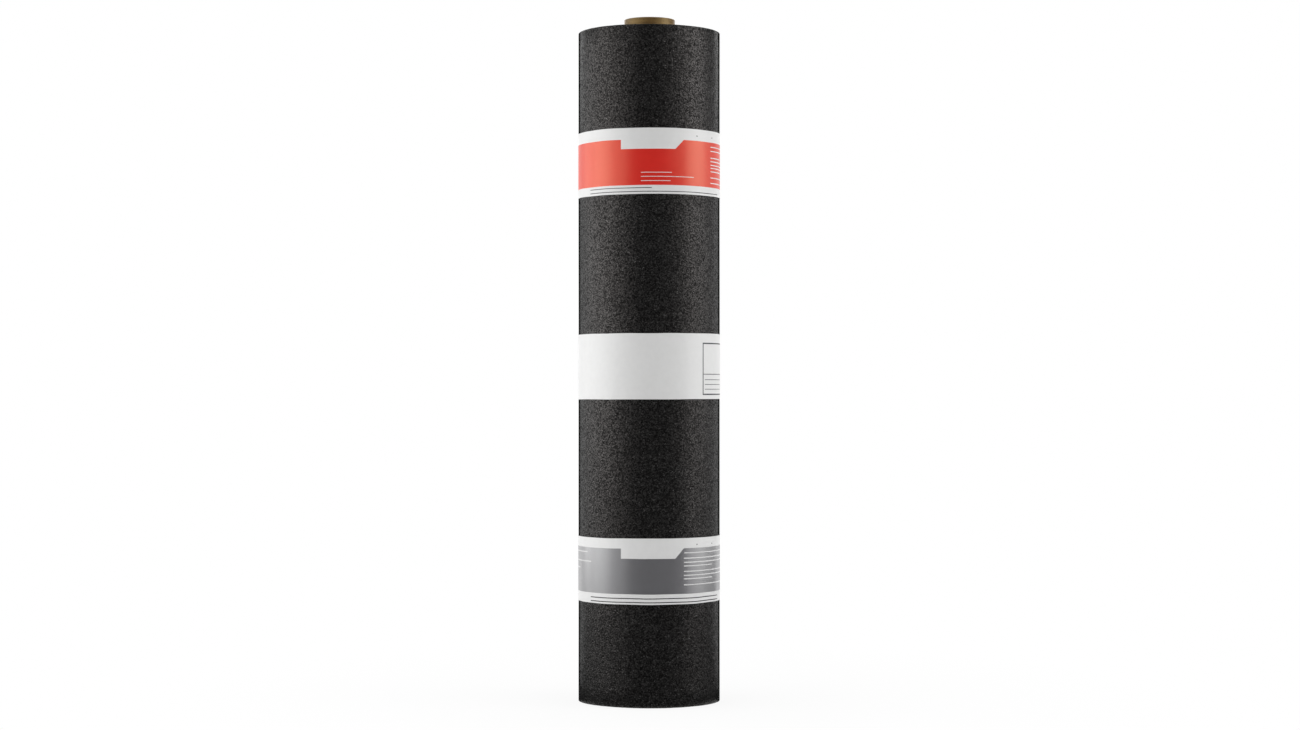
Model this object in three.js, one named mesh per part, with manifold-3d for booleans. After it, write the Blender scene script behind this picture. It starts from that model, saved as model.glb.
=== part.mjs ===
// A roll of bitumen roofing felt, standing on its end: one sheet wound on a cardboard core, held by
// three paper bands. Millimetres, +Z up. The origin is on the core's axis, where the roll stands.
// Seen from above, the sheet winds inwards anticlockwise. Its cut outer end, the tail, runs up the
// back of the roll, which is the +Y side.

import * as THREE from "three";
import { mergeVertices } from "three/addons/utils/BufferGeometryUtils.js";
import Module from "manifold-3d";

const wasm = await Module();
wasm.setup();

// ---- Driving dimensions -------------------------------------------------------------------------

const sheetWidth = 1000;
const sheetLength = 10210;
const sheetThickness = 3;
const tailAngle = THREE.MathUtils.degToRad(90);

const coreOuterDiameter = 76;
const coreWall = 5;
const coreStandOut = 20;

const bandWidth = 96.5;
const bandEndDistance = 200;
const paperThickness = 0.3;
const lapStart = 12;
const lapLength = 40;

const grooveWidth = 0.8;
const grooveDepth = 1;

const clearance = 0.3;
const skinChordError = 0.08;
const turnChordError = 0.28;
const coreSides = 64;

// ---- Sizes that follow from them ----------------------------------------------------------------

const TURN = 2 * Math.PI;
const coreRadius = coreOuterDiameter / 2;
const boreRadius = coreRadius + clearance;

// Seen from its end, the roll is the sheet's edge, its length times its thickness, round the bore.
const meanRadius = Math.sqrt(boreRadius ** 2 + (sheetLength * sheetThickness) / Math.PI);
const tailRadius = meanRadius + sheetThickness / 2;

// The joint between the turns starts at the foot of the tail's step. It comes in by one thickness a
// turn, as far as the sheet's other cut end, the head, which is one thickness off the bore.
const fallPerRadian = sheetThickness / TURN;
const jointStartRadius = tailRadius - sheetThickness;
const jointEndRadius = boreRadius + sheetThickness;
const headAngle = tailAngle + (jointStartRadius - jointEndRadius) / fallPerRadian;

const chordStep = (radius, error) => 2 * Math.acos(1 - error / radius);
const skinStep = chordStep(tailRadius, skinChordError);

// A step of one thickness stands on a circle at the tail and at the head. What is pulled tight over
// it runs straight from the step's corner to where it touches the circle, this far from the step.
const bridgeAngle = (circleRadius) => Math.acos(circleRadius / (circleRadius + sheetThickness));
const tailBridgeStart = tailAngle + TURN - bridgeAngle(jointStartRadius);
const headBridgeEnd = headAngle + bridgeAngle(boreRadius);

// ---- Helpers ------------------------------------------------------------------------------------

const polar = (radius, angle) => new THREE.Vector2(radius * Math.cos(angle), radius * Math.sin(angle));

// Points from one angle to another, evenly spread, at the radius that each angle has.
function sweep(from, to, radiusAt) {
  const count = Math.max(1, Math.ceil((to - from) / skinStep));
  const angles = Array.from({ length: count + 1 }, (_, i) => from + ((to - from) * i) / count);
  return angles.map((angle) => polar(radiusAt(angle), angle));
}

// A ring between two outlines, standing on the XY plane.
function extrudeRing(outline, hole, height) {
  const shape = new THREE.Shape(outline);
  shape.holes.push(new THREE.Path(hole));
  return new THREE.ExtrudeGeometry(shape, { depth: height, bevelEnabled: false });
}

function toSolid(geometry) {
  const bare = geometry.clone();
  bare.deleteAttribute("normal");
  bare.deleteAttribute("uv");
  const merged = mergeVertices(bare);
  const vertProperties = new Float32Array(merged.attributes.position.array);
  const triVerts = new Uint32Array(merged.index.array);
  return new wasm.Manifold(new wasm.Mesh({ numProp: 3, vertProperties, triVerts }));
}

function toGeometry(solid) {
  const mesh = solid.getMesh();
  const geometry = new THREE.BufferGeometry();
  geometry.setAttribute("position", new THREE.BufferAttribute(mesh.vertProperties, 3));
  geometry.setIndex(new THREE.BufferAttribute(mesh.triVerts, 1));
  geometry.computeVertexNormals();
  return geometry;
}

// ---- The felt -----------------------------------------------------------------------------------

// The outer turn's outside. It falls by one thickness, down to the foot of the tail's step.
const skinRadius = (angle) => tailRadius - fallPerRadian * (angle - tailAngle);

// The innermost turn lies on the core. Past the head it comes down to the core in a straight line,
// which leaves a small wedge-shaped gap beside the cut end.
function boreOutline() {
  const onCore = sweep(headBridgeEnd, headAngle + TURN, () => boreRadius);
  return [polar(jointEndRadius, headAngle), ...onCore];
}

// The joint between the turns, as a curve in a level plane. It starts just outside the tail's step
// and ends just inside the head's. Straight chords along it stray from the curve by an eighth of
// their angle squared times the radius, so chords that are even in radius ** 1.5 stray alike.
class JointCurve extends THREE.Curve {
  constructor(height) {
    super();
    this.height = height;
    const overrun = grooveWidth / 2 / jointEndRadius;
    this.outer = (jointStartRadius + overrun * fallPerRadian) ** 1.5;
    this.inner = (jointEndRadius - overrun * fallPerRadian) ** 1.5;
  }

  getPoint(t) {
    const radius = (this.outer + (this.inner - this.outer) * t) ** (2 / 3);
    const angle = tailAngle + (jointStartRadius - radius) / fallPerRadian;
    const { x, y } = polar(radius, angle);
    return new THREE.Vector3(x, y, this.height);
  }

  getUtoTmapping(u) {
    return u;
  }

  stepCount() {
    const perRootRadius = 1.5 * fallPerRadian * 2 * Math.sqrt(2 * turnChordError);
    return Math.ceil((this.outer - this.inner) / perRootRadius);
  }
}

// A V swept along the joint. In the section, +x points down and +y to the axis. The V's mouth
// stands as far out of the end face as its point goes in. "into" is 1 on the upper end.
function jointCutter(height, into) {
  const depth = grooveDepth * into;
  const corners = [
    new THREE.Vector2(depth, 0),
    new THREE.Vector2(-depth, grooveWidth * into),
    new THREE.Vector2(-depth, -grooveWidth * into),
  ];
  const curve = new JointCurve(height);
  const options = { steps: curve.stepCount(), extrudePath: curve, bevelEnabled: false };
  return toSolid(new THREE.ExtrudeGeometry(new THREE.Shape(corners), options));
}

function feltGeometry() {
  const skin = sweep(tailAngle, tailAngle + TURN, skinRadius);
  const blank = toSolid(extrudeRing(skin, boreOutline(), sheetWidth));
  const cut = blank.subtract(jointCutter(sheetWidth, 1)).subtract(jointCutter(0, -1));
  return toGeometry(cut);
}

// ---- The core -----------------------------------------------------------------------------------

function coreGeometry() {
  const innerRadius = coreRadius - coreWall;
  const length = sheetWidth + coreStandOut;
  const profile = [
    new THREE.Vector2(innerRadius, 0),
    new THREE.Vector2(coreRadius, 0),
    new THREE.Vector2(coreRadius, length),
    new THREE.Vector2(innerRadius, length),
    new THREE.Vector2(innerRadius, 0),
  ];
  return new THREE.LatheGeometry(profile, coreSides).rotateX(Math.PI / 2);
}

// ---- The paper bands ----------------------------------------------------------------------------

// Paper pulled tight round the felt: both outlines follow the skin, and close with the straight
// stretch over the tail's step. Beside the tail the paper's glued ends lap, as a second layer.
function bandGeometry() {
  const lapFrom = tailAngle + lapStart / tailRadius;
  const lapTo = lapFrom + lapLength / tailRadius;
  const inside = (angle) => skinRadius(angle) + clearance;
  const oneLayer = (angle) => inside(angle) + paperThickness;
  const twoLayers = (angle) => oneLayer(angle) + paperThickness;
  const outline = [
    ...sweep(tailAngle, lapFrom, oneLayer),
    ...sweep(lapFrom, lapTo, twoLayers),
    ...sweep(lapTo, tailBridgeStart, oneLayer),
  ];
  return extrudeRing(outline, sweep(tailAngle, tailBridgeStart, inside), bandWidth);
}

// ---- The roll -----------------------------------------------------------------------------------

const feltMaterial = new THREE.MeshStandardMaterial({ color: 0x37332f, roughness: 0.95, metalness: 0 });
const cardMaterial = new THREE.MeshStandardMaterial({ color: 0xa08a62, roughness: 0.85, metalness: 0 });
const paperMaterial = new THREE.MeshStandardMaterial({ color: 0xecebe8, roughness: 0.55, metalness: 0 });

const roll = new THREE.Group();

function place(name, geometry, material, height) {
  const mesh = new THREE.Mesh(geometry, material);
  mesh.name = name;
  mesh.position.z = height;
  roll.add(mesh);
}

place("felt_roll", feltGeometry(), feltMaterial, 0);
place("core_tube", coreGeometry(), cardMaterial, 0);

const bandCentres = {
  band_lower: bandEndDistance,
  band_middle: sheetWidth / 2,
  band_upper: sheetWidth - bandEndDistance,
};
for (const [name, centre] of Object.entries(bandCentres)) {
  place(name, bandGeometry(), paperMaterial, centre - bandWidth / 2);
}

export default roll;
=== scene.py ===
"""The looks of a roll of roofing felt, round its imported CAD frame. Metres, +Z up, front at -Y."""

import math

import bpy
import numpy as np
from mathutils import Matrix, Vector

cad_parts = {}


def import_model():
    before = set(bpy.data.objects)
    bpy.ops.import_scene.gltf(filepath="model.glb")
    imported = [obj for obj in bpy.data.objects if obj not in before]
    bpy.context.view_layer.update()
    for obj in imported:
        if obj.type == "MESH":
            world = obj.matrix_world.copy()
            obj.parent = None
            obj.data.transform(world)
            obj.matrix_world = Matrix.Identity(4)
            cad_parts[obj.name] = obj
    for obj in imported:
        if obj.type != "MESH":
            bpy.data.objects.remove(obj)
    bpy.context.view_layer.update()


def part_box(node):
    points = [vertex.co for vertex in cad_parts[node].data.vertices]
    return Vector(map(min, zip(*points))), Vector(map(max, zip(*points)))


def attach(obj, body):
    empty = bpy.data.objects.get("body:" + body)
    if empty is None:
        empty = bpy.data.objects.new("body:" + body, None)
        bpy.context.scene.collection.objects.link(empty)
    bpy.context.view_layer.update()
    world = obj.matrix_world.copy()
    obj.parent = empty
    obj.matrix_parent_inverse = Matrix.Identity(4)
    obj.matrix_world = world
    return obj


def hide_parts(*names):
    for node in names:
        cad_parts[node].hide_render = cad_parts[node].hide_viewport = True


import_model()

MM = 0.001
TURN = 2 * math.pi
BEND = 1 - math.sqrt(0.5)  # how far a rounded corner's middle is from its sides, by its radius
MARGIN, WHOLE = 0.002, 0.996  # of the bake's picture: what stays free at an edge, and the rest
RNG = np.random.default_rng(7)

# ---- Sizes --------------------------------------------------------------------------------------
# The CAD boxes give the places. These values repeat the ones that a box can't show.

SHEET = 3 * MM  # thickness of the felt, and so the fall of the skin in one turn
FALL = SHEET / TURN
TAIL_ANGLE = math.radians(90)
BORE_CLEARANCE = 0.3 * MM
CORE_WALL = 5 * MM

FELT_LOW, FELT_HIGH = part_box("felt_roll")
CORE_LOW, CORE_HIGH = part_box("core_tube")
TAIL_RADIUS = FELT_HIGH.y
CORE_RADIUS = CORE_HIGH.x
BORE_RADIUS = CORE_RADIUS + BORE_CLEARANCE
WOUND_ANGLE = TURN * (TAIL_RADIUS - SHEET - BORE_RADIUS) / SHEET  # from the tail to the head

BAND_NODES = ("band_upper", "band_middle", "band_lower")
BAND_SPANS = [(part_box(node)[0].z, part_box(node)[1].z) for node in BAND_NODES]


# ---- Mesh helpers -------------------------------------------------------------------------------

def polar(radius, angle, z):
    """Points for arrays of radius, angle and height, with the last axis holding x, y and z."""
    radius, angle, z = np.broadcast_arrays(radius, angle, z)
    return np.stack([radius * np.cos(angle), radius * np.sin(angle), z], -1)


def ease(share):
    """A smooth step from 0 to 1."""
    share = np.clip(share, 0, 1)
    return share * share * (3 - 2 * share)


def wander(at, seed):
    """A smooth random curve from -1 to 1, which turns about once for each whole number in at. No
    place in at may be below 0."""
    at = np.asarray(at, float)
    values = np.random.default_rng(seed).uniform(-1, 1, int(at.max()) + 3)
    low = np.floor(at).astype(int)
    part = ease(at - low)
    return values[low] * (1 - part) + values[low + 1] * part


def mesh_object(name, points, faces, slots, materials, sharp=40):
    """A mesh with one material slot for each face, smooth apart from edges over sharp degrees."""
    mesh = bpy.data.meshes.new(name)
    mesh.from_pydata(np.asarray(points, float).reshape(-1, 3).tolist(), [], faces)
    for material in materials:
        mesh.materials.append(material)
    mesh.polygons.foreach_set("material_index", np.asarray(slots, np.int32))
    mesh.polygons.foreach_set("use_smooth", np.ones(len(faces), bool))
    mesh.set_sharp_from_angle(angle=math.radians(sharp))
    piece = bpy.data.objects.new(name, mesh)
    bpy.context.collection.objects.link(piece)
    return piece


def corner_faces(faces):
    """The face and the vertex of each corner, in the mesh's order."""
    counts = [len(face) for face in faces]
    return np.repeat(np.arange(len(faces)), counts), np.concatenate(faces).astype(int)


def add_map(piece, name, places):
    """A UV map with one place for each corner."""
    layer = piece.data.uv_layers.new(name=name)
    layer.uv.foreach_set("vector", np.asarray(places, np.float32).ravel())


def put_on_roll(piece, node):
    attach(piece, "root")
    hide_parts(node)


# ---- Material helpers ---------------------------------------------------------------------------

class Nodes:
    """A material's node tree, with short calls for the nodes that this scene uses."""

    def __init__(self, name, **shader):
        self.material = bpy.data.materials.new(name)
        self.material.use_nodes = True
        self.tree = self.material.node_tree
        self.shader = self.tree.nodes["Principled BSDF"]
        self.place = self.tree.nodes.new("ShaderNodeTexCoord").outputs["Object"]
        for socket, value in shader.items():
            self.set(socket.replace("_", " "), value)

    def feed(self, socket, value):
        if isinstance(value, bpy.types.NodeSocket):
            self.tree.links.new(value, socket)
        else:
            socket.default_value = value

    def set(self, socket, value):
        self.feed(self.shader.inputs[socket], value)

    def new(self, kind, output=0, inputs=(), **settings):
        node = self.tree.nodes.new("ShaderNode" + kind)
        for key, value in settings.items():
            setattr(node, key, value)
        for key, value in dict(inputs).items():
            self.feed(node.inputs[key], value)
        return node.outputs[output]

    def math(self, operation, a, b=0.0):
        return self.new("Math", inputs={0: a, 1: b}, operation=operation)

    def times(self, a, b):
        return self.math("MULTIPLY", a, b)

    def plus(self, a, b):
        return self.math("ADD", a, b)

    def noise(self, scale, detail, roughness=0.5, at=None):
        inputs = {"Vector": at or self.place, "Scale": scale, "Detail": detail}
        inputs["Roughness"] = roughness
        return self.new("TexNoise", "Fac", inputs)

    def cells(self, scale):
        """Random cells, each with its own colour."""
        return self.new("TexVoronoi", "Color", {"Vector": self.place, "Scale": scale})

    def channel(self, colour, number):
        return self.new("SeparateColor", number, {0: colour})

    def stretch(self, scale, at=None):
        """The coordinates, scaled by a number of its own on each axis."""
        return self.new("Mapping", inputs={"Vector": at or self.place, "Scale": scale})

    def span(self, value, low, high, to_low=0.0, to_high=1.0):
        """The value, carried from one range to another and kept inside it."""
        inputs = {"Value": value, "From Min": low, "From Max": high}
        inputs.update({"To Min": to_low, "To Max": to_high})
        return self.new("MapRange", inputs=inputs)

    def mix(self, factor, a, b, blend="MIX"):
        inputs = {0: factor, 6: a, 7: b}
        return self.new("Mix", 2, inputs, data_type="RGBA", blend_type=blend)

    def grey_of(self, value):
        return self.new("CombineColor", inputs={0: value, 1: value, 2: value})

    def facing(self):
        """0 where the surface faces the view, and 1 where it is seen edge on."""
        return self.new("LayerWeight", "Facing", {"Blend": 0.5})

    def bump(self, height, strength, distance):
        inputs = {"Height": height, "Strength": strength, "Distance": distance}
        return self.new("Bump", inputs=inputs)


def grey(value):
    return (value, value, value, 1.0)


# ---- Materials ----------------------------------------------------------------------------------
# Texture scales are cells or waves in a metre. Colours are linear.

FELT_GLOSS = 0.34  # the felt's specular level, before each grain takes its share
GRAIN_SCALE, FINE_GRAIN_SCALE = 600.0, 1100.0
GRAIN_RANGE = (0.2, 0.8)  # a grain's random value, from the dullest grains to the glossiest
STONE_TONES = ((0.0, 0.004), (0.5, 0.008), (0.72, 0.012), (0.85, 0.02), (0.93, 0.034), (1.0, 0.07))
GLOSS_HIDDEN = (0.45, 0.8)  # the range of facing over which grains come to hide each other's gloss
FLEECE_DEPTH = 1.35 * MM  # from the sheet's outer face

PLAIN_LEVEL = 0.5  # the specular level that leaves a material's index as it is
INK_GLEAM = (0.15, 0.5)  # the range of facing over which an ink's specular level rises


def sanded_felt():
    """Black bitumen with fine mineral sand pressed into it. Each grain has its own gloss and few show
    their stone. The gaps between grains are darkened in the colour, as painted shade, and have less
    gloss. Seen at a low angle they hide each other's gloss. Rubbing has left level scuffs."""
    m = Nodes("felt_sanded", Specular_IOR_Level=FELT_GLOSS, Specular_Tint=(1, 0.93, 0.9, 1))
    cells = m.cells(GRAIN_SCALE)
    grains = m.mix(0.3, cells, m.cells(FINE_GRAIN_SCALE))
    rise = m.span(cells.node.outputs["Distance"], 0.2, 0.75, 1.0, 0.0)
    # Painted shade: darker in the gaps between grains, in the colour and in the gloss.
    painted_gap_shade = m.span(rise, 0.0, 0.5, 0.45, 1.08)
    coat = m.channel(grains, 0)
    cloud = m.span(m.noise(14.0, 3.0), 0.3, 0.7, 0.9, 1.1)
    # The colour's grey takes in the grain's random tone and the painted shade of the gaps between
    # grains.
    shade = m.times(m.span(coat, *GRAIN_RANGE, 0.5, 2.25), m.times(cloud, painted_gap_shade))
    colour = m.mix(1.0, stone_tone(m, m.channel(grains, 1)), m.grey_of(shade), "MULTIPLY")
    rub = m.noise(1.0, 3.0, 0.6, m.stretch((5.0, 260.0, 1.0), m.new("UVMap", uv_map="sheet")))
    scuff = m.times(m.span(rub, 0.66, 0.74), m.span(m.noise(9.0, 1.0), 0.5, 0.6))
    m.set("Base Color", m.mix(m.times(scuff, 0.5), colour, (0.05, 0.049, 0.047, 1)))
    shown = m.span(m.facing(), *GLOSS_HIDDEN, 1.0, 0.0)
    gloss = m.times(m.span(coat, *GRAIN_RANGE, 0.3, 1.75), m.times(shown, painted_gap_shade))
    m.set("Specular IOR Level", m.times(gloss, FELT_GLOSS))
    lump = m.noise(420.0, 1.0)
    m.set("Normal", m.bump(m.plus(m.times(rise, 0.2), lump), 1.0, 0.5 * MM))
    m.set("Roughness", m.span(coat, *GRAIN_RANGE, 0.45, 0.3))
    return m.material


def stone_tone(m, value):
    """The stone's colour by STONE_TONES, from a random value: mostly black, and paler for few."""
    tone = m.new("ValToRGB", inputs={0: value})
    ramp = tone.node.color_ramp
    for place, _ in STONE_TONES[1:-1]:
        ramp.elements.new(place)
    for element, (place, level) in zip(ramp.elements, STONE_TONES):
        element.position = place
        element.color = (level * 1.01, level, level * 0.99, 1)
    return tone


def felt_edge():
    """The sheet's cut edge: black bitumen, dulled by dust, with the paler line of its fleece."""
    m = Nodes("felt_cut_edge", Roughness=0.6, Specular_IOR_Level=0.3)
    sheet = m.new("UVMap", uv_map="sheet")
    along = m.stretch((160.0, 2200.0, 1.0), sheet)
    depth = m.new("SeparateXYZ", 1, {0: sheet})
    streak = m.noise(1.0, 3.0, 0.6, along)
    crumb = m.noise(1500.0, 3.0, 0.6)
    dust = m.noise(90.0, 4.0, 0.65)
    middle = m.math("ABSOLUTE", m.math("SUBTRACT", depth, FLEECE_DEPTH))
    wobble = m.times(m.math("SUBTRACT", crumb, 0.5), 0.5 * MM)
    line = m.span(m.plus(middle, wobble), 0.12 * MM, 0.28 * MM, 1.0, 0.0)
    black = m.mix(m.span(streak, 0.3, 0.75), grey(0.006), (0.02, 0.019, 0.018, 1))
    dusted = m.times(m.span(dust, 0.45, 0.8), m.span(crumb, 0.4, 0.6))
    dusty = m.mix(dusted, black, (0.07, 0.065, 0.058, 1))
    fleece = m.times(line, m.span(streak, 0.35, 0.6, 0.1, 0.7))
    m.set("Base Color", m.mix(fleece, dusty, (0.11, 0.105, 0.095, 1)))
    height = m.plus(crumb, m.times(streak, 0.6))
    m.set("Normal", m.bump(height, 0.7, 0.3 * MM))
    m.set("Roughness", m.span(streak, 0.3, 0.7, 0.5, 0.75))
    return m.material


def felt_back():
    """The underside, with its thin melted film."""
    m = Nodes("felt_underside", Roughness=0.45)
    film = m.noise(220.0, 3.0, 0.5)
    m.set("Base Color", m.mix(film, (0.01, 0.01, 0.011, 1), (0.03, 0.03, 0.032, 1)))
    m.set("Normal", m.bump(film, 0.3, 0.2 * MM))
    return m.material


def kraft_board():
    """Brown core board, lightly waxed: level streaks and long fibres, clouds and darker specks."""
    m = Nodes("core_kraft", Roughness=0.45, IOR=1.9, Specular_Tint=(1, 0.74, 0.34, 1))
    fibre = m.noise(1.0, 5.0, 0.65, m.stretch((260.0, 260.0, 2600.0)))
    streak = m.noise(1.0, 2.0, 0.5, m.stretch((18.0, 18.0, 420.0)))
    fine = m.noise(1400.0, 3.0, 0.6)
    cloud = m.noise(40.0, 3.0, 0.55)
    shade = m.plus(m.plus(m.times(fibre, 0.35), m.times(cloud, 0.2)), m.times(streak, 0.45))
    board = m.mix(m.span(shade, 0.36, 0.64), (0.055, 0.025, 0.007, 1), (0.2, 0.118, 0.042, 1))
    speck = m.span(m.channel(m.cells(700.0), 0), 0.955, 0.97)
    m.set("Base Color", m.mix(m.times(speck, 0.6), board, (0.03, 0.016, 0.007, 1)))
    height = m.plus(m.times(fibre, 0.8), m.times(fine, 0.4))
    m.set("Normal", m.bump(height, 0.4, 0.2 * MM))
    m.set("Roughness", m.span(cloud, 0.3, 0.7, 0.38, 0.52))
    return m.material


def coated_paper(name, pale, deep, roughness, index, tint=(1, 1, 1), side_level=PLAIN_LEVEL):
    """Half-glossy paper, plain or printed: faint clouds in the colour, and fibres under the gloss.
    With a side level of its own, it gleams more where it is seen at a low angle."""
    m = Nodes(name, Roughness=roughness, IOR=index, Specular_Tint=(*tint, 1))
    if side_level != PLAIN_LEVEL:
        m.set("Specular IOR Level", m.span(m.facing(), *INK_GLEAM, PLAIN_LEVEL, side_level))
    cloud = m.noise(120.0, 4.0, 0.6)
    fibre = m.noise(900.0, 4.0, 0.6)
    m.set("Base Color", m.mix(m.span(cloud, 0.3, 0.7), (*deep, 1), (*pale, 1)))
    m.set("Roughness", m.span(fibre, 0.3, 0.7, roughness - 0.04, roughness + 0.04))
    height = m.plus(m.times(fibre, 0.12), m.times(cloud, 0.9))
    m.set("Normal", m.bump(height, 0.35, 0.12 * MM))
    return m.material


def band_inks():
    """The bands' materials, in the order of the inks. The lines are paper left bare by an ink."""
    red, deep_red, red_gloss = (0.7, 0.014, 0.013), (0.675, 0.013, 0.011), (1, 0.7, 0.46)
    grey_ink, deep_grey = (0.146, 0.144, 0.156), (0.136, 0.134, 0.144)
    return [
        coated_paper("paper_white", (0.725, 0.725, 0.72), (0.7, 0.7, 0.695), 0.36, 1.45),
        coated_paper("ink_red", red, deep_red, 0.34, 1.9, red_gloss, side_level=0.75),
        coated_paper("ink_grey", grey_ink, deep_grey, 0.34, 2.6, side_level=1.25),
        coated_paper("ink_black", (0.022, 0.022, 0.024), (0.018, 0.018, 0.02), 0.36, 1.5),
        coated_paper("ink_reserved_line", (0.7, 0.7, 0.695), (0.67, 0.67, 0.665), 0.36, 1.45),
    ]


# ---- The felt -----------------------------------------------------------------------------------
# The sheet is one closed mesh, made of rings. A ring is a section across the sheet: up its outer
# face, over the upper edge, down the inner face and back under the lower edge. Angles are wound in
# from the tail. On the outer turn the faces have rows, which let the surface swell and lift.

TURN_GAP = 0.12 * MM
THICKNESS = SHEET - TURN_GAP
RING_STEP = 2.6 * MM
SKIN_RING_STEP = 3.4 * MM
SKIN_ANGLE = TURN * 1.03  # how far the faces have rows: the outer turn and a little more
SKIN_ROWS = 40
EDGE_ROUND = 0.4 * MM
EDGE_DISH = 0.1 * MM
LOOSE_TURNS = 8  # turns round the core that it takes to even out the step over the sheet's head
TELESCOPE, TELESCOPE_WAVES = 1.1 * MM, 7  # how far turns slip endways, and how often in a metre
RAGGED = 0.14 * MM
SWELL, SWELL_WAVES = 0.12 * MM, 7  # here and below, the waves are counted up the roll's height
SWELL_CHANGES = 1.4  # in a radian round the roll
TAIL_WAVE, TAIL_WAVES, TAIL_WAVE_REACH = 0.5 * MM, 11, 30 * MM
TAIL_LIFT, TAIL_LIFT_WAVES, TAIL_LIFT_REACH = 0.8 * MM, 5, 38 * MM
GRIP_MARGIN, GRIP_FADE = 4 * MM, 45 * MM  # beside a band: where its grip ends, and how it fades
TELESCOPE_SEED, TAIL_WAVE_SEED, TAIL_LIFT_SEED, SWELL_SEED = 3, 5, 9, 40

# The bake's picture: the outer turn on its left, and a side column for the rest of the sheet.
SKIN_WIDTH, SIDE_START, SIDE_WIDTH = 0.69, 0.705, 0.29
STRIP_HEIGHT, CUT_WIDTH = 0.17, 0.007

OUTER, DEEPER, UPPER, INNER, LOWER, TAIL_CUT, HEAD_CUT = range(7)
FELT_SLOTS = {OUTER: 0, DEEPER: 0, UPPER: 1, INNER: 2, LOWER: 1, TAIL_CUT: 1, HEAD_CUT: 1}


def underside_radius(angle):
    """The sheet's inner face. Next to the core it lies tight on what is under it, and climbs over
    the head's step in a straight line. Further out this evens out to a spiral."""
    wound = WOUND_ANGLE - angle
    turns = np.floor(wound / TURN)
    part = wound / TURN - turns
    on = BORE_RADIUS + SHEET * turns
    bridge = np.arccos(on / (on + SHEET))
    past = np.maximum(0, part * TURN - (TURN - bridge))
    climb = (on / np.cos(past) - on) / SHEET
    even = np.minimum(1, turns / LOOSE_TURNS)
    return on + SHEET * ((1 - even) * climb + even * part)


def march(start, end, step):
    """Angles from start to end, about one step apart along the sheet."""
    middle = TAIL_RADIUS - FALL * (start + end) / 2
    count = int(math.ceil((end - start) * middle / step))
    steps = 1 / (TAIL_RADIUS - FALL * np.linspace(start, end, count))
    return start + (end - start) * np.concatenate([[0], np.cumsum(steps)]) / steps.sum()


def ring_angles():
    """The angle of each ring, and how many of them are on the outer turn."""
    corner = EDGE_ROUND * np.array([0, 0.15, 0.5, 1])
    skin = np.concatenate([corner / TAIL_RADIUS, march(0, SKIN_ANGLE, SKIN_RING_STEP)[1:]])
    rest = march(SKIN_ANGLE, WOUND_ANGLE, RING_STEP)[1:-1]
    head = WOUND_ANGLE - corner[::-1] / BORE_RADIUS
    return np.concatenate([skin, rest, head]), len(skin)


def edge_profile():
    """The sheet's edge between its faces: how far through it is, and how far under the top."""
    bend = EDGE_ROUND * BEND
    near = [(bend / THICKNESS, bend), (EDGE_ROUND / THICKNESS, 0)]
    far = [(1 - share, drop) for share, drop in near[::-1]]
    return near + [(0.5, EDGE_DISH)] + far


def band_grip(z):
    """0 where a band presses the sheet down, rising to 1 away from it."""
    away = [np.maximum(low - z, z - high) for low, high in BAND_SPANS]
    return ease((np.min(away, 0) - GRIP_MARGIN) / GRIP_FADE)


def face_swell(angle, heights):
    """How far the outer turn stands off its spiral, by height, and how far its tail end shifts."""
    share = (heights - FELT_LOW.z) / (FELT_HIGH.z - FELT_LOW.z)
    low = int(angle * SWELL_CHANGES)
    part = float(ease(angle * SWELL_CHANGES - low))
    waves = [wander(share * SWELL_WAVES, SWELL_SEED + i) for i in (low, low + 1)]
    swell = SWELL * (waves[0] * (1 - part) + waves[1] * part)
    along = angle * TAIL_RADIUS
    lift = TAIL_LIFT * max(0, 1 - along / TAIL_LIFT_REACH) ** 2 * band_grip(heights)
    lift *= 0.7 + 0.3 * wander(share * TAIL_LIFT_WAVES, TAIL_LIFT_SEED)
    shift = TAIL_WAVE * wander(share * TAIL_WAVES, TAIL_WAVE_SEED)
    shift *= max(0, 1 - along / TAIL_WAVE_REACH)
    return swell + lift, shift / TAIL_RADIUS


def ring_points(angle, rows, inner, low, high):
    """One ring's points. The tail's and the head's ends have rounded corners."""
    from_end = min(angle * TAIL_RADIUS, (WOUND_ANGLE - angle) * BORE_RADIUS)
    corner = EDGE_ROUND - math.sqrt(EDGE_ROUND**2 - max(0, EDGE_ROUND - from_end) ** 2)
    heights = np.linspace(low + EDGE_ROUND, high - EDGE_ROUND, rows + 1)
    swell, shift = face_swell(angle, heights) if rows > 1 else (np.zeros(2), np.zeros(2))
    out, into = inner + THICKNESS - corner + swell, inner + corner + swell
    at = TAIL_ANGLE + angle + shift
    share, drop = np.array(edge_profile()).T
    upper = polar(out[-1] + (into[-1] - out[-1]) * share, at[-1], high - drop)
    lower = polar(into[0] + (out[0] - into[0]) * share, at[0], low + drop)
    return np.concatenate([polar(out, at, heights), upper, polar(into, at, heights)[::-1], lower])


def stretches(start, rows):
    """A ring's point numbers: its outer face, its upper edge, its inner face and its lower edge."""
    corners = len(edge_profile())
    top, inner = start + rows, start + rows + corners + 1
    bottom = inner + rows
    outer_face, upper = range(start, top + 1), range(top, inner + 1)
    inner_face, lower = range(inner, bottom + 1), [*range(bottom, bottom + corners + 1), start]
    return list(outer_face), list(upper), list(inner_face), list(lower)


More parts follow.
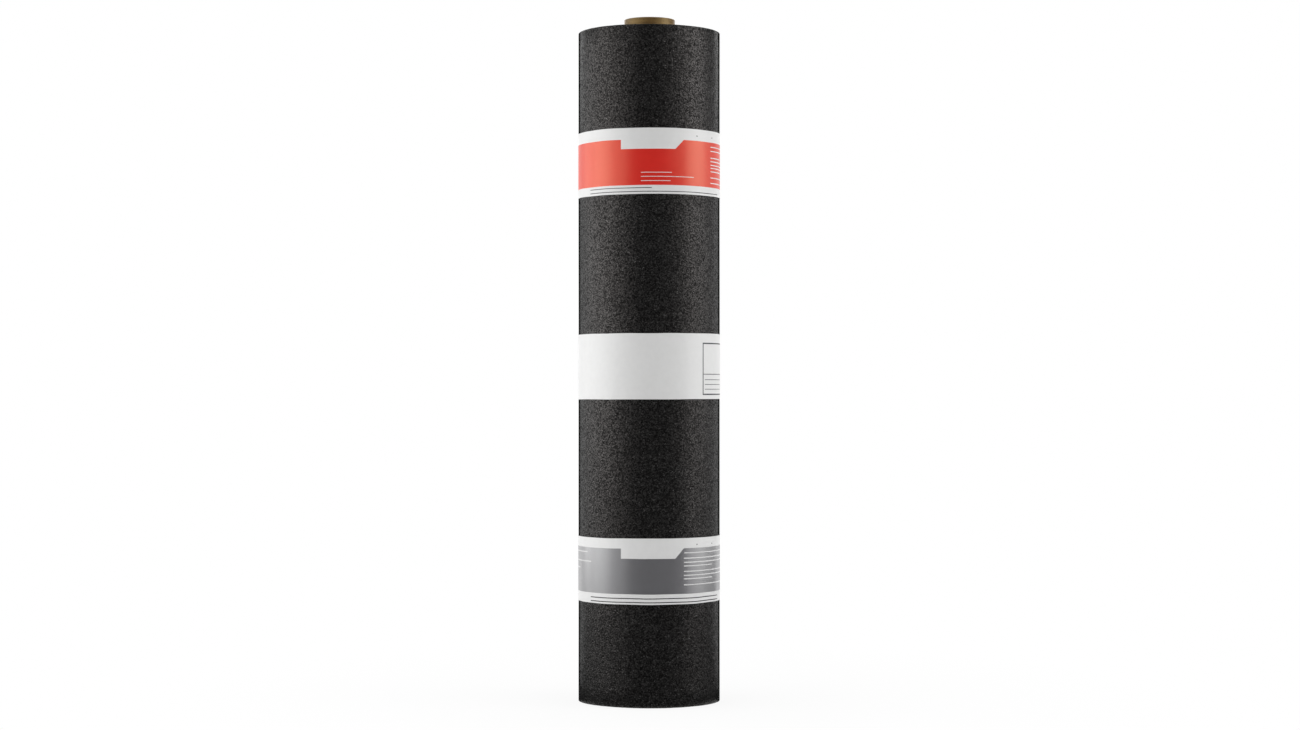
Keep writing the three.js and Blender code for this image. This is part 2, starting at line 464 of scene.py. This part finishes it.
def sheet_faces(starts, rows, angles):
    """The faces between each ring and the next, and at both ends, each with its kind."""
    faces, kinds = [], []
    for i in range(len(starts) - 1):
        sides = zip(stretches(starts[i], rows[i]), stretches(starts[i + 1], rows[i + 1]))
        outer = OUTER if angles[i] < TURN else DEEPER
        for kind, (a, b) in zip((outer, UPPER, INNER, LOWER), sides):
            if len(a) != len(b):
                faces.append(a[::-1] + b)
                kinds.append(kind)
                continue
            faces += [[a[k], b[k], b[k + 1], a[k + 1]] for k in range(len(a) - 1)]
            kinds += [kind] * (len(a) - 1)
    for i, kind in ((0, TAIL_CUT), (-1, HEAD_CUT)):
        outer, upper, inner, lower = stretches(starts[i], rows[i])
        back = inner[::-1]
        ends = [[outer[k], outer[k + 1], back[k + 1], back[k]] for k in range(rows[i])]
        ends += [upper, lower]
        faces += ends if kind == TAIL_CUT else [face[::-1] for face in ends]
        kinds += [kind] * len(ends)
    return faces, np.array(kinds)


def sheet_map(z, arc, depth, kind):
    """In metres: along the sheet and up it, or on a cut edge along the edge and through the sheet."""
    edge = (kind == UPPER) | (kind == LOWER)
    cut = (kind == TAIL_CUT) | (kind == HEAD_CUT)
    return np.stack([np.where(cut, z, arc), np.where(edge | cut, depth, z)], -1)


def sheet_bake_map(x, y, z, arc, depth, kind):
    """The bake's places. Most of its picture goes to the outer turn and the roll's ends."""
    share = (z - FELT_LOW.z) / (FELT_HIGH.z - FELT_LOW.z)
    wound = arc / arc.max()
    skin_length = arc[kind == OUTER].max()
    scale = SIDE_WIDTH / (2 * TAIL_RADIUS + 2 * MM)
    upward, inward = MARGIN + WHOLE * share, SIDE_START + SIDE_WIDTH * wound
    places = {
        OUTER: (SKIN_WIDTH * arc / skin_length, upward),
        UPPER: (0.85 + x * scale, 0.15 + y * scale),
        LOWER: (0.85 + x * scale, 0.45 + y * scale),
        DEEPER: (inward, 0.63 + STRIP_HEIGHT * share),
        INNER: (inward, 0.82 + STRIP_HEIGHT * share),
        TAIL_CUT: (0.693 + CUT_WIDTH * depth / SHEET, upward),
        HEAD_CUT: (SIDE_START + SIDE_WIDTH * share, 0.61 + CUT_WIDTH * depth / SHEET),
    }
    bake = np.zeros((len(kind), 2))
    for part, (u, v) in places.items():
        bake[kind == part] = np.stack([u, v], -1)[kind == part]
    return bake


def wound_sheet():
    """The sheet's points and faces, with each face's kind and each point's place in the sheet."""
    angles, skin_count = ring_angles()
    inner = underside_radius(angles)
    along = np.concatenate([[0], np.cumsum(np.diff(angles) * (inner[1:] + inner[:-1] + SHEET) / 2)])
    height = FELT_HIGH.z - FELT_LOW.z - TELESCOPE
    slip = TELESCOPE * (0.5 + 0.5 * wander(along * TELESCOPE_WAVES, TELESCOPE_SEED))
    low = FELT_LOW.z + slip + RNG.uniform(0, RAGGED, len(angles))
    high = FELT_LOW.z + slip + height - RNG.uniform(0, RAGGED, len(angles))
    rows = [SKIN_ROWS if i < skin_count else 1 for i in range(len(angles))]
    rings = [ring_points(*ring) for ring in zip(angles, rows, inner, low, high)]
    sizes = [len(ring) for ring in rings]
    starts = np.concatenate([[0], np.cumsum(sizes)[:-1]]).tolist()
    points = np.concatenate(rings)
    faces, kinds = sheet_faces(starts, rows, angles)
    at_ring = np.repeat(np.arange(len(angles)), sizes)
    through = inner[at_ring] + THICKNESS - np.hypot(points[:, 0], points[:, 1])
    return points, faces, kinds, along[at_ring], through


points, faces, kinds, along, through = wound_sheet()
felt_slots = [FELT_SLOTS[kind] for kind in kinds.tolist()]
felt_materials = [sanded_felt(), felt_edge(), felt_back()]
felt = mesh_object("felt_sheet", points, faces, felt_slots, felt_materials)
face, vertex = corner_faces(faces)
x, y, z = points[vertex].T
arc, depth, kind = along[vertex], through[vertex], kinds[face]
add_map(felt, "sheet", sheet_map(z, arc, depth, kind))
add_map(felt, "OFBake", sheet_bake_map(x, y, z, arc, depth, kind))
put_on_roll(felt, "felt_roll")


# ---- The core -----------------------------------------------------------------------------------
# A tube of board wound from strips. Its mesh is a closed loop of rows: up the outside, over the
# upper end, down the bore and under the lower end. The strips' seams run round it as helices.

CORE_COLUMNS = 208
CORE_END, CORE_END_STEP, CORE_MIDDLE_ROWS = 34 * MM, 0.8 * MM, 70  # close rows at the ends only
CORE_ROUND = 0.5 * MM
PLIES, PLY_SPANS = 9, 4  # and how many spans of the end's mesh go to a ply
PLY_GROOVE = 0.14 * MM
SEAM_PITCH = 118 * MM
SEAM_WIDTH = 0.7 * MM
SEAM_DEPTH = 0.16 * MM
BURR = 0.12 * MM
SHOWN_OUTSIDE, SHOWN_INSIDE = 24 * MM, 90 * MM  # how far from its end the tube is seen
END_WEIGHT, OUTSIDE_WEIGHT, INSIDE_WEIGHT, UNSEEN_WEIGHT = 14.0, 8.0, 3.0, 0.25


def core_rows():
    """Each row's radius and height, and which way it faces: 1 out, -1 in, and 0 on the ends."""
    length = CORE_HIGH.z - CORE_LOW.z
    inner = CORE_RADIUS - CORE_WALL
    fine = np.arange(CORE_ROUND, CORE_END, CORE_END_STEP)
    coarse = np.linspace(CORE_END, length - CORE_END, CORE_MIDDLE_ROWS + 2)[1:-1]
    outside = np.concatenate([fine, coarse, (length - fine)[::-1]])
    across = np.linspace(0, 1, PLIES * PLY_SPANS + 1)
    ring = CORE_RADIUS - CORE_ROUND - (CORE_WALL - 2 * CORE_ROUND) * across
    groove = PLY_GROOVE * (np.arange(len(across)) % PLY_SPANS == 0)
    bend = CORE_ROUND * BEND
    top = [(CORE_RADIUS - bend, length - bend)]
    top += list(zip(ring, length - groove)) + [(inner + bend, length - bend)]
    bottom = [(radius, length - z) for radius, z in top[::-1]]
    rows = [(CORE_RADIUS, z, 1) for z in outside] + [(r, z, 0) for r, z in top]
    rows += [(inner, z, -1) for z in outside[::-1]] + [(r, z, 0) for r, z in bottom]
    return np.array(rows)


def seam_dip(angle, z, turns, start):
    """How deep the wall dips at its strip's seam, which goes round once in a pitch."""
    phase = (z / SEAM_PITCH - turns * angle / TURN + start) % 1.0
    away = np.abs(phase - 0.5) * SEAM_PITCH
    return SEAM_DEPTH * np.exp(-((away / SEAM_WIDTH) ** 2))


def core_weights(rows):
    """How much of the bake's picture each row's strip gets: most goes to what shows."""
    z, side = rows[:, 1], rows[:, 2]
    top = z.max() - z
    weight = np.where(side == 0, END_WEIGHT, UNSEEN_WEIGHT)
    weight = np.where((side == 1) & (top < SHOWN_OUTSIDE), OUTSIDE_WEIGHT, weight)
    return np.where((side == -1) & (np.minimum(top, z) < SHOWN_INSIDE), INSIDE_WEIGHT, weight)


def core_mesh():
    """The tube's points, its faces and its places in the bake's picture."""
    rows = core_rows()
    count = len(rows)
    angle = np.linspace(0, TURN, CORE_COLUMNS, endpoint=False)[None]
    radius, z, side = rows[:, :1], rows[:, 1:2], rows[:, 2:3]
    dip = np.where(side > 0, seam_dip(angle, z, 1, 0.2), seam_dip(angle, z, -1, 0.6))
    edge = (side == 0) * RNG.normal(0, BURR / 3, (count, CORE_COLUMNS))
    inward = np.where(z > CORE_HIGH.z / 2, -1, 1) * np.abs(edge)
    points = polar(radius - side * dip, angle, CORE_LOW.z + z + inward)
    at = np.arange(count * CORE_COLUMNS).reshape(count, CORE_COLUMNS)
    right, up = np.roll(at, -1, 1), np.roll(at, -1, 0)
    faces = np.stack([at, right, np.roll(up, -1, 1), up], -1).reshape(-1, 4)
    ahead = np.roll(rows[:, :2], -1, 0) - rows[:, :2]
    length = np.hypot(*ahead.T) * core_weights(rows)
    v = np.concatenate([[0], np.cumsum(length)]) / length.sum()
    row, column = np.divmod(np.arange(count * CORE_COLUMNS), CORE_COLUMNS)
    u0, u1 = column / CORE_COLUMNS, (column + 1) / CORE_COLUMNS
    corners = np.stack([u0, v[row], u1, v[row], u1, v[row + 1], u0, v[row + 1]], -1)
    return points, faces.tolist(), corners.reshape(-1, 2) * WHOLE + MARGIN


points, faces, bake_map = core_mesh()
core = mesh_object("core_wound_tube", points, faces, [0] * len(faces), [kraft_board()], 50)
add_map(core, "OFBake", bake_map)
put_on_roll(core, "core_tube")


# ---- The paper bands ----------------------------------------------------------------------------
# Each band is one strip of paper, wound once round the felt and glued where its ends lap, beside the
# tail. A place on it is s along the band, to the right from the middle of the roll's front, and h up
# from the band's lower edge. The mesh has an edge along each printed edge.

PAPER = 0.18 * MM
PAPER_OFFSET = 0.15 * MM  # from the CAD skin of the felt to the paper's inside
LAP_START, LAP_LENGTH = 12 * MM, 40 * MM
LAP_RISE, LAP_GAP = 8 * MM, 0.04 * MM
PATH_POINTS = 900
PAPER_STEP, PAPER_ROW = 2.7 * MM, 9 * MM
EDGE_WAVE, EDGE_WAVES = 0.3 * MM, 30  # how far an edge strays, and how often in a metre
SLACK, SLACK_WAVES = 0.09 * MM, 55
SKEW = 0.0024  # how much the strip rises for its length, so that its ends lap a little askew
CORNER_LIFT, CORNER_REACH = 0.5 * MM, 16 * MM
BAKE_S, BAKE_U = (-0.34, -0.17, 0.17, 0.4), (0.002, 0.2, 0.8, 0.998)  # s across the bake's picture
BAKE_RIM = (0.085, 0.105)  # the rim's two rows, by the paper's inside and by its outside

WHITE_PAPER, RED_INK, GREY_INK, BLACK_INK, WHITE_LINE = range(5)


# ---- The bands' prints --------------------------------------------------------------------------
# In millimetres. There are no words: a line of small print is a plain rule.

THIN_RULE, SMALL_RULE, RULE = 0.9, 1.1, 1.4
TAB_LEFT, TAB_RIGHT = -43.0, 45.3
TAB_LEAN, TAB_LEAN_REACH = 6.8, 8.4  # its right end leans by the first, each way from the middle
ALL_ROUND = 672.0  # from the front, and further than the strip's ends
MARKS, MARK_SIZE, MARK_HEIGHT = (75.1, 111.1), 1.8, 85.6


def block(s0, s1, h0, h1, ink):
    """A printed rectangle, carried from millimetres to metres."""
    return (s0 * MM, s1 * MM, h0 * MM, h1 * MM, ink)


def lines(s0, s1, heights, ink, width=RULE):
    """Level rules at these heights."""
    return [block(s0, s1, h - width / 2, h + width / 2, ink) for h in heights]


def colour_print(ink, field_low, field_high, tab_low, rules):
    """A field of colour all round, with a plain white tab that hangs into its top at the front, and
    two small printer's marks."""
    field = block(-ALL_ROUND, ALL_ROUND, field_low, field_high, ink)
    tab = block(TAB_LEFT, TAB_RIGHT, tab_low, field_high, WHITE_PAPER)
    marks = [
        block(s, s + MARK_SIZE, MARK_HEIGHT, MARK_HEIGHT + MARK_SIZE, BLACK_INK)
        for s in MARKS
    ]
    return [field, tab] + marks + rules


def boxed_table():
    """A black outline, parted by one line, with plain rows under it."""
    left, right, low, high, line = 88.0, 159.5, 6.0, 82.9, 1.9
    outline = [
        block(left, right, high - line, high, BLACK_INK),
        block(left, right, low, low + line, BLACK_INK),
        block(left, left + line, low, high, BLACK_INK),
        block(right - line, right, low, high, BLACK_INK),
        block(left, right, 36.0, 37.1, BLACK_INK),
    ]
    return outline + lines(left + 5, right - 5, (28.5, 21.5, 14.5), BLACK_INK, THIN_RULE)


PRINTS = {
    "band_upper": colour_print(RED_INK, 12.9, 79.5, 65.8, (
        lines(-12.7, 33, (31.4,), WHITE_LINE, THIN_RULE)
        + lines(-12.7, 70, (25.4,), WHITE_LINE, THIN_RULE)
        + lines(-12.7, 31, (19.2,), WHITE_LINE, THIN_RULE)
        + lines(-102, 3, (9,), BLACK_INK, SMALL_RULE)
        + lines(-102, 133, (3.6,), BLACK_INK, SMALL_RULE)
        + lines(108, 160, (72.9, 66.7, 56.6, 51.4, 46, 41.6, 36.4, 27.3, 19.2), WHITE_LINE)
    )),
    "band_middle": boxed_table(),
    "band_lower": colour_print(GREY_INK, 15, 81.7, 66.8, (
        lines(53, 160, (74.9, 67.1, 61.1, 47.9, 42, 28.2), WHITE_LINE)
        + lines(53, 112, (55.8, 36.9), WHITE_LINE)
        + lines(-160, -110, (74.9,), WHITE_LINE)
        + lines(-160, -100, (61.1,), WHITE_LINE)
        + lines(-160, -138, (50.6,), WHITE_LINE)
        + lines(-101, 133, (8.7, 3.1), BLACK_INK)
    )),
}


def paper_path():
    """The paper's inside, from its inner end to its outer one: each point's angle past the tail and
    its radius. It follows the felt, but crosses the tail's step in a straight line."""
    lap = LAP_START / TAIL_RADIUS
    angle = np.linspace(lap, TURN + lap + LAP_LENGTH / TAIL_RADIUS, PATH_POINTS)
    turned = angle % TURN
    radius = TAIL_RADIUS - FALL * turned
    start = TURN - math.acos((TAIL_RADIUS - SHEET) / TAIL_RADIUS)
    line = (TAIL_RADIUS - FALL * start) / np.cos(turned - start)
    radius = np.where(turned > start, line, radius) + PAPER_OFFSET
    rise = ease((angle - TURN) * TAIL_RADIUS / LAP_RISE)
    return angle, radius + (PAPER + LAP_GAP) * rise


def cuts(edges, step):
    """Places from the first edge to the last, one at each edge and others about a step apart."""
    edges = np.unique(np.round(edges, 6))
    pieces = [
        np.linspace(a, b, max(1, int(round((b - a) / step))), endpoint=False)
        for a, b in zip(edges, edges[1:])
    ]
    return np.concatenate(pieces + [edges[-1:]])


def print_slots(s, h, layout):
    """The ink of each cell between the places s and h, which is the last one laid on it."""
    s_mid, h_mid = (s[1:] + s[:-1]) / 2, (h[1:] + h[:-1]) / 2
    slots = np.full((len(s_mid), len(h_mid)), WHITE_PAPER)
    for s0, s1, h0, h1, ink in layout:
        slots[np.ix_((s_mid > s0) & (s_mid < s1), (h_mid > h0) & (h_mid < h1))] = ink
    return slots


def path_length(angle, radius):
    """The length along the strip at each angle, from the middle of the roll's front."""
    length = np.concatenate([[0], np.cumsum(np.diff(angle) * (radius[1:] + radius[:-1]) / 2)])
    return length - np.interp(math.pi, angle, length)


def lean_tab(s, h, layout):
    """Where each place s, h of the layout lies along the strip, once the tab's right end leans."""
    tab = [part for part in layout if part[4] == WHITE_PAPER]
    s_at = np.repeat(s[:, None], len(h), 1)
    if not tab:
        return s_at
    near = np.clip(1 - np.abs(s - TAB_RIGHT * MM) / (TAB_LEAN_REACH * MM), 0, 1)[:, None]
    return s_at + near * np.interp(h, tab[0][2:4], (-TAB_LEAN * MM, TAB_LEAN * MM))[None]


def edge_wave(s, share, seed):
    """How far the strip strays up: as its lower edge does low down, and as its upper edge high up."""
    lower, upper = [wander(s * EDGE_WAVES + 20, seed + i) for i in (0, 1)]
    return EDGE_WAVE * (lower * (1 - share) + upper * share)


def corner_lift(s, share, end):
    """How far the upper corner of the strip's outer end stands off."""
    from_end = np.clip(1 - (end - s) / CORNER_REACH, 0, 1)
    return CORNER_LIFT * from_end**2 * np.clip(share * 2 - 1, 0, 1) ** 2


def slack(s, share, seed):
    """How far the strip bulges and dips. What is added to its waves keeps them in wander's range."""
    along = wander(s * SLACK_WAVES + 40, seed + 2)
    return SLACK * along * wander(share * 2 + s * 9 + 9, seed + 3)


def paper_sheet(node, seed):
    """The points of the outside and of the inside and the places s, as columns by rows, then the
    heights h and each cell's ink."""
    low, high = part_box(node)[0].z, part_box(node)[1].z
    layout = PRINTS[node]
    angle, radius = paper_path()
    path = path_length(angle, radius)
    s_edges = [v for part in layout for v in part[:2] if path[0] < v < path[-1]]
    h_edges = [v for part in layout for v in part[2:4]]
    s = cuts([path[0], path[-1]] + s_edges, PAPER_STEP)
    h = cuts([0, high - low] + h_edges, PAPER_ROW)
    s_at = lean_tab(s, h, layout)
    share = h[None] / (high - low)
    z = low + h[None] + edge_wave(s_at, share, seed) + SKEW * s_at
    r = np.interp(s_at, path, radius) + corner_lift(s_at, share, path[-1]) + slack(s_at, share, seed)
    at = TAIL_ANGLE + np.interp(s_at, path, angle)
    return polar(r + PAPER, at, z), polar(r, at, z), s_at, h, print_slots(s, h, layout)


def strip_places(s, share, side):
    """The bake's places, for corners at s and at a share of the height, on a side: 1 outside, -1
    inside, 0 on the rim. The front of the band gets most of the width."""
    u = np.interp(s, BAKE_S, BAKE_U)
    v = np.where(side > 0, 0.12 + 0.87 * share, 0.01 + 0.06 * share)
    return np.stack([u, v], -1)


def band_mesh(node, seed):
    """The strip's points and faces, with each face's ink and the places in the bake's picture."""
    outside, inside, s, h, inks = paper_sheet(node, seed)
    columns, rows = s.shape
    size = columns * rows
    grid = np.arange(size).reshape(columns, rows)
    a, b, c, d = grid[:-1, :-1], grid[1:, :-1], grid[1:, 1:], grid[:-1, 1:]
    front = np.stack([a, b, c, d], -1).reshape(-1, 4)
    rim = np.concatenate([grid[:, 0], grid[-1, 1:], grid[-2::-1, -1], grid[0, -2:0:-1]])
    after = np.roll(rim, -1)
    edge = np.stack([after, rim, size + rim, size + after], -1)
    faces = np.concatenate([front, size + front[:, ::-1], edge])
    slots = np.concatenate([inks.ravel(), np.full(len(front) + len(edge), WHITE_PAPER)])
    flat_s = np.tile(s.ravel(), 2)
    flat_share = np.tile(np.broadcast_to(h / h[-1], s.shape).ravel(), 2)
    side = np.repeat([1, -1, 0], [len(front), len(front), len(edge)])
    bake = strip_places(flat_s[faces], flat_share[faces], side[:, None])
    bake[side == 0, :, 1] = np.where(faces[side == 0] >= size, *BAKE_RIM)
    points = np.concatenate([outside.reshape(-1, 3), inside.reshape(-1, 3)])
    return points, faces.tolist(), slots, bake.reshape(-1, 2)


INKS = band_inks()
BAND_SLOTS = ("band_paper_red", "band_paper_plain", "band_paper_grey")
BAND_SEEDS = (20, 25, 30)

for node, slot, seed in zip(BAND_NODES, BAND_SLOTS, BAND_SEEDS):
    points, faces, inks, bake_map = band_mesh(node, seed)
    band = mesh_object(node + "_wrap", points, faces, inks, INKS, 50)
    add_map(band, "OFBake", bake_map)
    put_on_roll(band, node)


# ---- Floor, lights and camera -------------------------------------------------------------------

FLOOR_REACH = 12.0
FLOOR_GLOW = 0.88  # share of the floor at the roll that shows white, whatever falls on it
GLOW_NEAR, GLOW_FAR = 0.15, 0.9  # from the first distance to the second, the share rises to 1
CARD_NEAR, CARD_FAR, CARD_HEIGHT = 0.11, 6.0, 12.0
CARD_SPREAD, CARD_COLUMNS = math.radians(135), 41
LAMP_DISTANCE, LAMP_TARGET = 2.0, 0.5
WORLD_LEVEL = 0.29

FRAME_WIDTH, FRAME_HEIGHT = 1300, 730
HORIZON_ROW, MIDDLE_COLUMN = 395.0, 649.6  # where the camera's own height and the roll's axis lie
CAMERA_DISTANCE, CAMERA_HEIGHT = 3.81, 0.458
LENS, SENSOR_WIDTH = 70.3, 36.0  # millimetres


def seen_white(tree):
    """1 for rays from the camera, and for those that gloss or glass sends on."""
    path = tree.nodes.new("ShaderNodeLightPath")
    seen = path.outputs["Is Camera Ray"]
    for kind in ("Is Glossy Ray", "Is Transmission Ray"):
        either = tree.nodes.new("ShaderNodeMath")
        either.operation = "MAXIMUM"
        tree.links.new(seen, either.inputs[0])
        tree.links.new(path.outputs[kind], either.inputs[1])
        seen = either.outputs[0]
    return seen


def stage_object(name, points, faces, material):
    """A mesh that belongs to the stage and not to the roll."""
    mesh = bpy.data.meshes.new(name)
    mesh.from_pydata(points, [], faces)
    mesh.materials.append(material)
    piece = bpy.data.objects.new(name, mesh)
    bpy.context.collection.objects.link(piece)
    return piece


def white_floor():
    """A floor that shows white, with a little of the roll's shadow."""
    m = Nodes("floor_white", Base_Color=grey(0.8), Roughness=0.9, Specular_IOR_Level=0.0)
    distance = m.new("VectorMath", "Value", {0: m.place}, operation="LENGTH")
    rise = m.span(distance, GLOW_NEAR, GLOW_FAR, FLOOR_GLOW, 1.0)
    share = m.times(seen_white(m.tree), rise)
    surface = m.new("MixShader", inputs={0: share, 1: m.shader.outputs[0], 2: m.new("Emission")})
    m.feed(m.tree.nodes["Material Output"].inputs["Surface"], surface)
    r, z = FLOOR_REACH, FELT_LOW.z - 0.2 * MM
    corners = [(-r, -r, z), (r, -r, z), (r, r, z), (-r, r, z)]
    stage_object("floor", corners, [(0, 1, 2, 3)], m.material)


def dark_card():
    """A dark card round the camera's side and over the floor there. Only gloss shows it."""
    m = Nodes("card_dark", Base_Color=grey(0.01), Roughness=1.0, Specular_IOR_Level=0.0)
    turns = np.linspace(-CARD_SPREAD, CARD_SPREAD, CARD_COLUMNS) - math.pi / 2
    low = FELT_LOW.z + 0.5 * MM
    profile = ((CARD_NEAR, low), (CARD_FAR, low), (CARD_FAR, CARD_HEIGHT))
    rows = [polar(radius, turns, z) for radius, z in profile]
    count = CARD_COLUMNS
    faces = [
        (k + i, k + i + 1, k + count + i + 1, k + count + i)
        for k in (0, count)
        for i in range(count - 1)
    ]
    card = stage_object("dark_card", np.concatenate(rows).tolist(), faces, m.material)
    card.visible_camera = False
    card.visible_diffuse = False
    card.visible_transmission = False
    card.visible_shadow = False


def world(level):
    """White surroundings, which light the roll at this level."""
    surroundings = bpy.data.worlds.new("studio")
    surroundings.use_nodes = True
    bpy.context.scene.world = surroundings
    tree = surroundings.node_tree
    light = tree.nodes["Background"]
    light.inputs["Color"].default_value = grey(1.0)
    light.inputs["Strength"].default_value = level
    white = tree.nodes.new("ShaderNodeBackground")
    white.inputs["Color"].default_value = grey(1.0)
    mixer = tree.nodes.new("ShaderNodeMixShader")
    tree.links.new(seen_white(tree), mixer.inputs[0])
    tree.links.new(light.outputs[0], mixer.inputs[1])
    tree.links.new(white.outputs[0], mixer.inputs[2])
    tree.links.new(mixer.outputs[0], tree.nodes["World Output"].inputs["Surface"])


def softbox(name, azimuth, height, size, power, distance=LAMP_DISTANCE):
    """A rectangular lamp that looks at the roll's middle. Its azimuth is 0 on the camera's side and
    90 on the right."""
    data = bpy.data.lights.new(name, "AREA")
    data.shape = "RECTANGLE"
    data.size, data.size_y = size
    data.energy = power
    lamp = bpy.data.objects.new(name, data)
    turn = math.radians(azimuth)
    lamp.location = (distance * math.sin(turn), -distance * math.cos(turn), height)
    drop = math.atan2(height - LAMP_TARGET, distance)
    lamp.rotation_euler = (math.pi / 2 - drop, 0, turn)
    bpy.context.collection.objects.link(lamp)


white_floor()
dark_card()
world(WORLD_LEVEL)
softbox("left_wall", -80, 0.6, (1.4, 1.0), 11.5)
softbox("left_near", -48, 0.6, (0.9, 1.0), 3.3)
softbox("left_far", -115, 0.75, (1.0, 1.4), 7.5)
softbox("left_tall", -80, 1.55, (1.4, 0.9), 8.4)
softbox("left_key", -45, 1.6, (0.9, 0.9), 4.0)
softbox("right_wall", 80, 0.6, (1.4, 1.0), 8.6)
softbox("right_far", 115, 0.6, (1.0, 1.0), 2.3)
softbox("right_tall", 80, 1.55, (1.4, 0.9), 14.0)
softbox("right_key", 45, 1.6, (0.9, 0.9), 3.9)
softbox("back_left", -162, 1.6, (1.0, 1.0), 6.7)
softbox("back_right", 162, 1.6, (1.0, 1.0), 6.7)
softbox("top", 0, 3.0, (2.0, 2.0), 29.0, distance=0.001)

camera_data = bpy.data.cameras.new("camera")
camera_data.sensor_width = SENSOR_WIDTH
camera_data.lens = LENS
camera_data.shift_x = (FRAME_WIDTH / 2 - MIDDLE_COLUMN) / FRAME_WIDTH
camera_data.shift_y = (HORIZON_ROW - FRAME_HEIGHT / 2) / FRAME_WIDTH
camera = bpy.data.objects.new("camera", camera_data)
camera.location = (0, -CAMERA_DISTANCE, CAMERA_HEIGHT)
camera.rotation_euler = (math.pi / 2, 0, 0)
bpy.context.collection.objects.link(camera)
bpy.context.scene.camera = camera
bpy.context.scene.view_settings.view_transform = "Standard"
